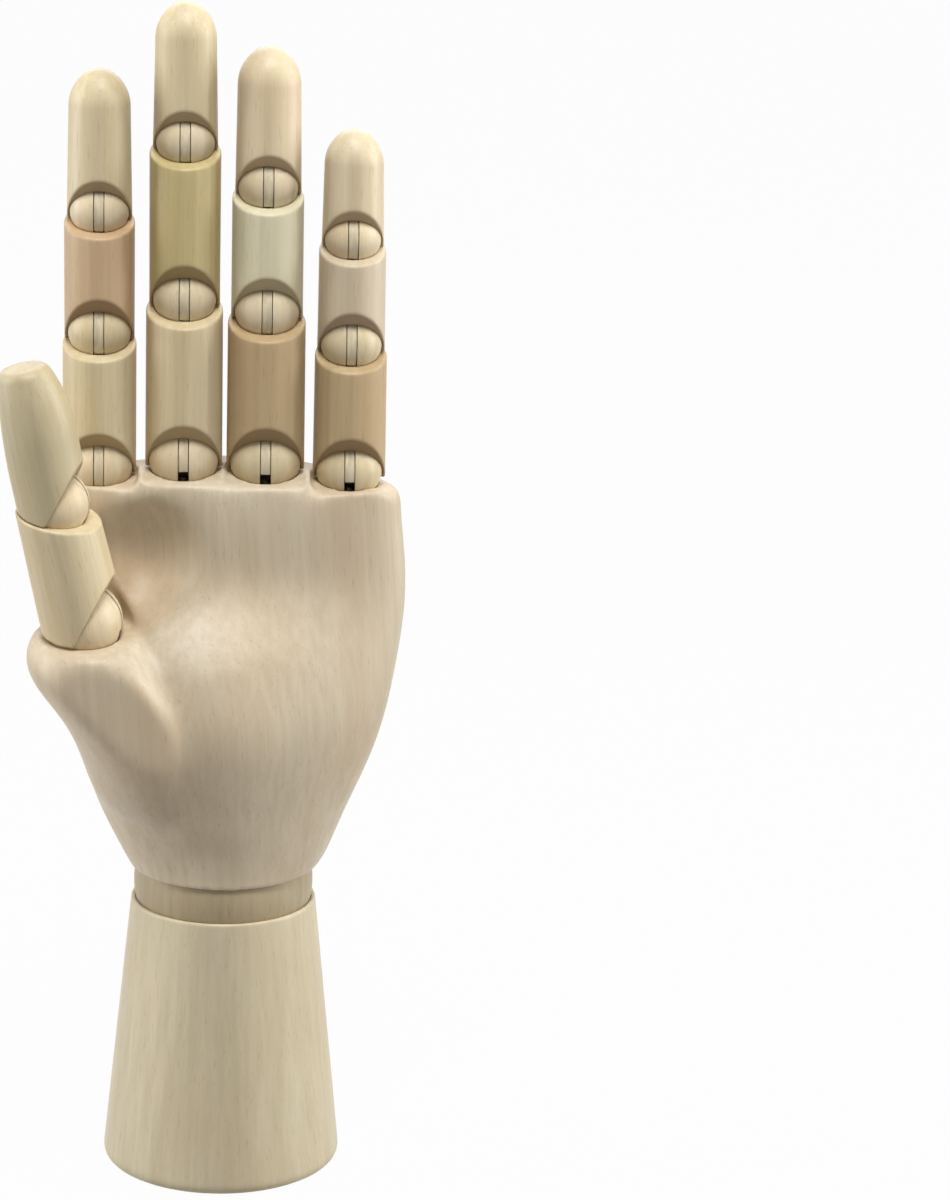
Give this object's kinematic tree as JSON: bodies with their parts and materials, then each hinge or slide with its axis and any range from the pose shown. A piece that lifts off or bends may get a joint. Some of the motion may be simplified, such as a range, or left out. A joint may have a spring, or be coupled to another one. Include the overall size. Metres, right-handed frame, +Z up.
{
  "type": "wooden hand mannequin",
  "caption": "Jointed wooden hand that stands on its forearm, with ball joints at the wrist, knuckles and fingers, so that it can be posed as a drawing model or ornament.",
  "frame": {"origin": "centre of the forearm's flat underside", "axes": "+Z up along the forearm and the fingers, -Y out of the palm, -X towards the thumb"},
  "size_m": [0.1053, 0.0646, 0.3055],
  "materials": {
    "hand_wood": "satin",
    "finger_wood": "satin",
    "ball_wood": "satin",
    "steel": "brushed"
  },
  "bodies": {
    "forearm": {"forearm": "hand_wood", "wrist_spring": "steel"},
    "wrist_ball": {"wrist_ball": "ball_wood", "wrist_pin": "steel", "wrist_bolt": "steel", "wrist_washer": "steel", "wrist_nut": "steel"},
    "wrist_link": {"wrist_link": "steel"},
    "palm": {"palm": "hand_wood", "index_knuckle_stud": "steel", "middle_knuckle_stud": "steel", "ring_knuckle_stud": "steel", "pinky_knuckle_stud": "steel"},
    "index_knuckle": {"index_knuckle_ball": "ball_wood"},
    "index_proximal": {"index_proximal": "finger_wood", "index_knuckle_link": "steel", "index_lower_ball": "ball_wood"},
    "index_middle": {"index_middle": "finger_wood", "index_lower_link": "steel", "index_upper_ball": "ball_wood"},
    "index_distal": {"index_distal": "finger_wood", "index_upper_link": "steel"},
    "middle_knuckle": {"middle_knuckle_ball": "ball_wood"},
    "middle_proximal": {"middle_proximal": "finger_wood", "middle_knuckle_link": "steel", "middle_lower_ball": "ball_wood"},
    "middle_middle": {"middle_middle": "finger_wood", "middle_lower_link": "steel", "middle_upper_ball": "ball_wood"},
    "middle_distal": {"middle_distal": "finger_wood", "middle_upper_link": "steel"},
    "ring_knuckle": {"ring_knuckle_ball": "ball_wood"},
    "ring_proximal": {"ring_proximal": "finger_wood", "ring_knuckle_link": "steel", "ring_lower_ball": "ball_wood"},
    "ring_middle": {"ring_middle": "finger_wood", "ring_lower_link": "steel", "ring_upper_ball": "ball_wood"},
    "ring_distal": {"ring_distal": "finger_wood", "ring_upper_link": "steel"},
    "pinky_knuckle": {"pinky_knuckle_ball": "ball_wood"},
    "pinky_proximal": {"pinky_proximal": "finger_wood", "pinky_knuckle_link": "steel", "pinky_lower_ball": "ball_wood"},
    "pinky_middle": {"pinky_middle": "finger_wood", "pinky_lower_link": "steel", "pinky_upper_ball": "ball_wood"},
    "pinky_distal": {"pinky_distal": "finger_wood", "pinky_upper_link": "steel"},
    "thumb_stud": {"thumb_base_stud": "steel"},
    "thumb_ball": {"thumb_base_ball": "ball_wood"},
    "thumb_proximal": {"thumb_proximal": "finger_wood", "thumb_base_link": "steel", "thumb_upper_ball": "ball_wood"},
    "thumb_distal": {"thumb_distal": "finger_wood", "thumb_upper_link": "steel"}
  },
  "joints": [
    {"name": "wrist_turn", "type": "hinge", "parent": "forearm", "child": "wrist_ball", "pos_m": [0, 0, 0.0768], "axis": [0, 0, 1], "range_deg": [-180, 180]},
    {"name": "wrist_tilt", "type": "hinge", "parent": "wrist_ball", "child": "wrist_link", "pos_m": [0, 0, 0.0768], "axis": [1, 0, 0], "range_deg": [-18, 18]},
    {"name": "palm_turn", "type": "hinge", "parent": "wrist_link", "child": "palm", "pos_m": [0, 0, 0.0768], "axis": [0, 0, 1], "range_deg": [-180, 180]},
    {"name": "index_spread", "type": "hinge", "parent": "palm", "child": "index_knuckle", "pos_m": [-0.0323, 0, 0.18803], "axis": [0, 1, 0], "range_deg": [-5, 2]},
    {"name": "index_knuckle_bend", "type": "hinge", "parent": "index_knuckle", "child": "index_proximal", "pos_m": [-0.0323, 0, 0.18803], "axis": [1, 0, 0], "range_deg": [0, 14]},
    {"name": "index_lower_bend", "type": "hinge", "parent": "index_proximal", "child": "index_middle", "pos_m": [-0.0323, 0, 0.22267], "axis": [1, 0, 0], "range_deg": [0, 75]},
    {"name": "index_upper_bend", "type": "hinge", "parent": "index_middle", "child": "index_distal", "pos_m": [-0.0323, 0, 0.25328], "axis": [1, 0, 0], "range_deg": [0, 70]},
    {"name": "middle_spread", "type": "hinge", "parent": "palm", "child": "middle_knuckle", "pos_m": [-0.011, 0, 0.18992], "axis": [0, 1, 0], "range_deg": [-1.5, 1]},
    {"name": "middle_knuckle_bend", "type": "hinge", "parent": "middle_knuckle", "child": "middle_proximal", "pos_m": [-0.011, 0, 0.18992], "axis": [1, 0, 0], "range_deg": [0, 60]},
    {"name": "middle_lower_bend", "type": "hinge", "parent": "middle_proximal", "child": "middle_middle", "pos_m": [-0.011, 0, 0.2315], "axis": [1, 0, 0], "range_deg": [0, 75]},
    {"name": "middle_upper_bend", "type": "hinge", "parent": "middle_middle", "child": "middle_distal", "pos_m": [-0.011, 0, 0.27106], "axis": [1, 0, 0], "range_deg": [0, 70]},
    {"name": "ring_spread", "type": "hinge", "parent": "palm", "child": "ring_knuckle", "pos_m": [0.0097, 0, 0.18946], "axis": [0, 1, 0], "range_deg": [-1, 1.5]},
    {"name": "ring_knuckle_bend", "type": "hinge", "parent": "ring_knuckle", "child": "ring_proximal", "pos_m": [0.0097, 0, 0.18946], "axis": [1, 0, 0], "range_deg": [0, 60]},
    {"name": "ring_lower_bend", "type": "hinge", "parent": "ring_proximal", "child": "ring_middle", "pos_m": [0.0097, 0, 0.22856], "axis": [1, 0, 0], "range_deg": [0, 75]},
    {"name": "ring_upper_bend", "type": "hinge", "parent": "ring_middle", "child": "ring_distal", "pos_m": [0.0097, 0, 0.26012], "axis": [1, 0, 0], "range_deg": [0, 70]},
    {"name": "pinky_spread", "type": "hinge", "parent": "palm", "child": "pinky_knuckle", "pos_m": [0.031, 0, 0.18745], "axis": [0, 1, 0], "range_deg": [-2, 5]},
    {"name": "pinky_knuckle_bend", "type": "hinge", "parent": "pinky_knuckle", "child": "pinky_proximal", "pos_m": [0.031, 0, 0.18745], "axis": [1, 0, 0], "range_deg": [0, 60]},
    {"name": "pinky_lower_bend", "type": "hinge", "parent": "pinky_proximal", "child": "pinky_middle", "pos_m": [0.031, 0, 0.2203], "axis": [1, 0, 0], "range_deg": [0, 75]},
    {"name": "pinky_upper_bend", "type": "hinge", "parent": "pinky_middle", "child": "pinky_distal", "pos_m": [0.031, 0, 0.24706], "axis": [1, 0, 0], "range_deg": [0, 70]},
    {"name": "thumb_turn", "type": "hinge", "parent": "palm", "child": "thumb_stud", "pos_m": [-0.03583, -0.01786, 0.15154], "axis": [-0.0139, -0.1464, 0.9891], "range_deg": [-20, 30]},
    {"name": "thumb_rock", "type": "hinge", "parent": "thumb_stud", "child": "thumb_ball", "pos_m": [-0.03583, -0.01786, 0.15154], "axis": [-0.9708, 0.2388, 0.0217], "range_deg": [-4, 2]},
    {"name": "thumb_base_bend", "type": "hinge", "parent": "thumb_ball", "child": "thumb_proximal", "pos_m": [-0.03583, -0.01786, 0.15154], "axis": [-0.2393, -0.96, -0.1455], "range_deg": [-50, 0]},
    {"name": "thumb_upper_bend", "type": "hinge", "parent": "thumb_proximal", "child": "thumb_distal", "pos_m": [-0.04275, -0.02087, 0.18275], "axis": [-0.2393, -0.96, -0.1455], "range_deg": [-75, 0]}
  ]
}
